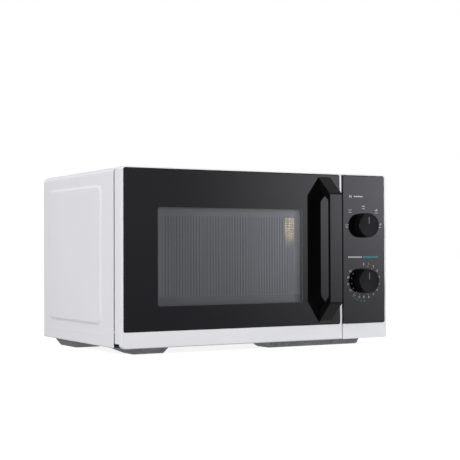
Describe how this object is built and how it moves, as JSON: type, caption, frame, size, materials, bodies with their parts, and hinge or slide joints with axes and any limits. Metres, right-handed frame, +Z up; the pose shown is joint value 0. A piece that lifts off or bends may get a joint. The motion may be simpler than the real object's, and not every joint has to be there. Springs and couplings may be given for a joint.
{
  "type": "microwave oven",
  "caption": "White countertop microwave oven with a black glass front, hinged door with bar handle, two rotary knobs, glass turntable and working inner parts.",
  "frame": {"origin": "centre of the footprint, at the underside of the feet", "axes": "+Z up, +X to the right seen from the front, front of the oven facing -Y"},
  "size_m": [0.4432, 0.343, 0.256],
  "materials": {
    "white_paint": "smooth semi-gloss white enamel over steel",
    "white_plastic": "smooth semi-gloss white moulded plastic",
    "front_glass": "glossy black printed front, see-through grey in the window",
    "clear_sheet": "clear inner sheet",
    "tray_glass": "clear pressed glass",
    "bulb_glass": "clear bulb glass",
    "handle_plastic": "satin dark grey moulded plastic",
    "knob_plastic": "satin black moulded plastic with a spun face",
    "black_plastic": "matt black moulded plastic",
    "choke_plastic": "fine-textured dark grey plastic",
    "screen_steel": "satin black enamel over perforated steel",
    "cavity_enamel": "speckled light grey oven enamel",
    "zinc_steel": "zinc-coated sheet with a soft spangle",
    "bracket_steel": "satin black enamel",
    "aluminium": "plain rolled aluminium",
    "core_steel": "varnished steel laminations",
    "copper": "enamelled copper winding",
    "natural_plastic": "natural off-white moulded plastic",
    "mica": "pressed mica sheet",
    "lead_rubber": "soft silicone sleeve",
    "circuit_board": "bare resin board",
    "spring_steel": "bright drawn wire"
  },
  "bodies": {
    "oven": {"outer_casing": "white_paint", "base_plate": "zinc_steel", "rear_panel": "white_paint", "rear_spacer": "white_plastic", "cord_gland": "black_plastic", "casing_screw_1": "zinc_steel", "casing_screw_2": "zinc_steel", "casing_screw_3": "zinc_steel", "casing_screw_4": "zinc_steel", "oven_cavity": "cavity_enamel", "cavity_front_plate": "white_paint", "waveguide": "aluminium", "waveguide_cover": "mica", "oven_lamp": "bulb_glass", "lamp_holder": "natural_plastic", "turntable_motor": "aluminium", "magnetron_yoke": "zinc_steel", "magnetron_fins": "aluminium", "magnetron_filter_box": "zinc_steel", "thermal_cutout": "black_plastic", "transformer_core": "core_steel", "primary_winding": "copper", "secondary_winding": "copper", "capacitor": "aluminium", "capacitor_strap": "zinc_steel", "high_voltage_diode": "black_plastic", "high_voltage_lead": "lead_rubber", "air_duct": "natural_plastic", "filter_board": "circuit_board", "hinge_lower": "bracket_steel", "hinge_upper": "white_paint", "latch_board": "natural_plastic", "primary_switch": "black_plastic", "secondary_switch": "black_plastic", "monitor_switch": "black_plastic", "control_panel_frame": "white_plastic", "control_panel_glass": "front_glass", "power_selector": "zinc_steel", "timer_unit": "zinc_steel", "fan_shroud": "natural_plastic", "fan_motor": "core_steel"},
    "door": {"door_frame": "white_plastic", "door_glass": "front_glass", "door_screen": "screen_steel", "choke_cover": "choke_plastic", "inner_window": "clear_sheet", "handle": "handle_plastic", "latch_spring": "spring_steel"},
    "latch": {"latch_bar": "black_plastic"},
    "lever": {"interlock_lever": "black_plastic"},
    "power_knob": {"power_knob": "knob_plastic"},
    "timer_knob": {"timer_knob": "knob_plastic"},
    "fan": {"fan_blade": "black_plastic"},
    "turntable": {"turntable_coupler": "natural_plastic", "turntable_tray": "tray_glass"},
    "roller_ring": {"roller_ring": "natural_plastic"},
    "roller_wheel_1": {"roller_wheel_1": "natural_plastic"},
    "roller_wheel_2": {"roller_wheel_2": "natural_plastic"},
    "roller_wheel_3": {"roller_wheel_3": "natural_plastic"}
  },
  "joints": [
    {"name": "door_hinge", "type": "hinge", "parent": "oven", "child": "door", "pos_m": [-0.21525, -0.1203, 0.133], "axis": [0, 0, -1], "range_deg": [0, 95]},
    {"name": "latch_slide", "type": "slide", "parent": "door", "child": "latch", "axis": [0, 0, 1], "range_m": [0, 0.004], "stiffness_N_per_m": 150, "springref_m": -0.004, "deforming": ["latch_spring"]},
    {"name": "lever_pivot", "type": "hinge", "parent": "oven", "child": "lever", "pos_m": [0.125, -0.0855, 0.068], "axis": [-1, 0, 0], "range_deg": [0, 10], "stiffness_Nm_per_rad": 0.02, "springref_deg": -11.46},
    {"name": "power_knob_turn", "type": "hinge", "parent": "oven", "child": "power_knob", "pos_m": [0.178, -0.1415, 0.1792], "axis": [0, 1, 0], "range_deg": [-90, 90]},
    {"name": "timer_knob_turn", "type": "hinge", "parent": "oven", "child": "timer_knob", "pos_m": [0.178, -0.1415, 0.0962], "axis": [0, 1, 0], "range_deg": [0, 300]},
    {"name": "fan_spin", "type": "hinge", "parent": "oven", "child": "fan", "pos_m": [0.166, 0.1395, 0.19], "axis": [0, 1, 0], "continuous": true},
    {"name": "turntable_spin", "type": "hinge", "parent": "oven", "child": "turntable", "pos_m": [-0.0485, 0.0165, 0.05], "axis": [0, 0, 1], "continuous": true},
    {"name": "roller_ring_spin", "type": "hinge", "parent": "oven", "child": "roller_ring", "pos_m": [-0.0485, 0.0165, 0.0408], "axis": [0, 0, 1], "continuous": true},
    {"name": "roller_wheel_1_spin", "type": "hinge", "parent": "roller_ring", "child": "roller_wheel_1", "pos_m": [-0.0485, 0.1085, 0.0408], "axis": [0, 1, 0], "continuous": true},
    {"name": "roller_wheel_2_spin", "type": "hinge", "parent": "roller_ring", "child": "roller_wheel_2", "pos_m": [-0.12817, -0.0295, 0.0408], "axis": [-0.866, -0.5, 0], "continuous": true},
    {"name": "roller_wheel_3_spin", "type": "hinge", "parent": "roller_ring", "child": "roller_wheel_3", "pos_m": [0.03117, -0.0295, 0.0408], "axis": [0.866, -0.5, 0], "continuous": true}
  ],
  "couplings": [
    {"joint": "roller_ring_spin", "follows": "turntable_spin", "ratio": 0.5},
    {"joint": "roller_wheel_1_spin", "follows": "turntable_spin", "ratio": -6.1333},
    {"joint": "roller_wheel_2_spin", "follows": "turntable_spin", "ratio": -6.1333},
    {"joint": "roller_wheel_3_spin", "follows": "turntable_spin", "ratio": -6.1333}
  ]
}
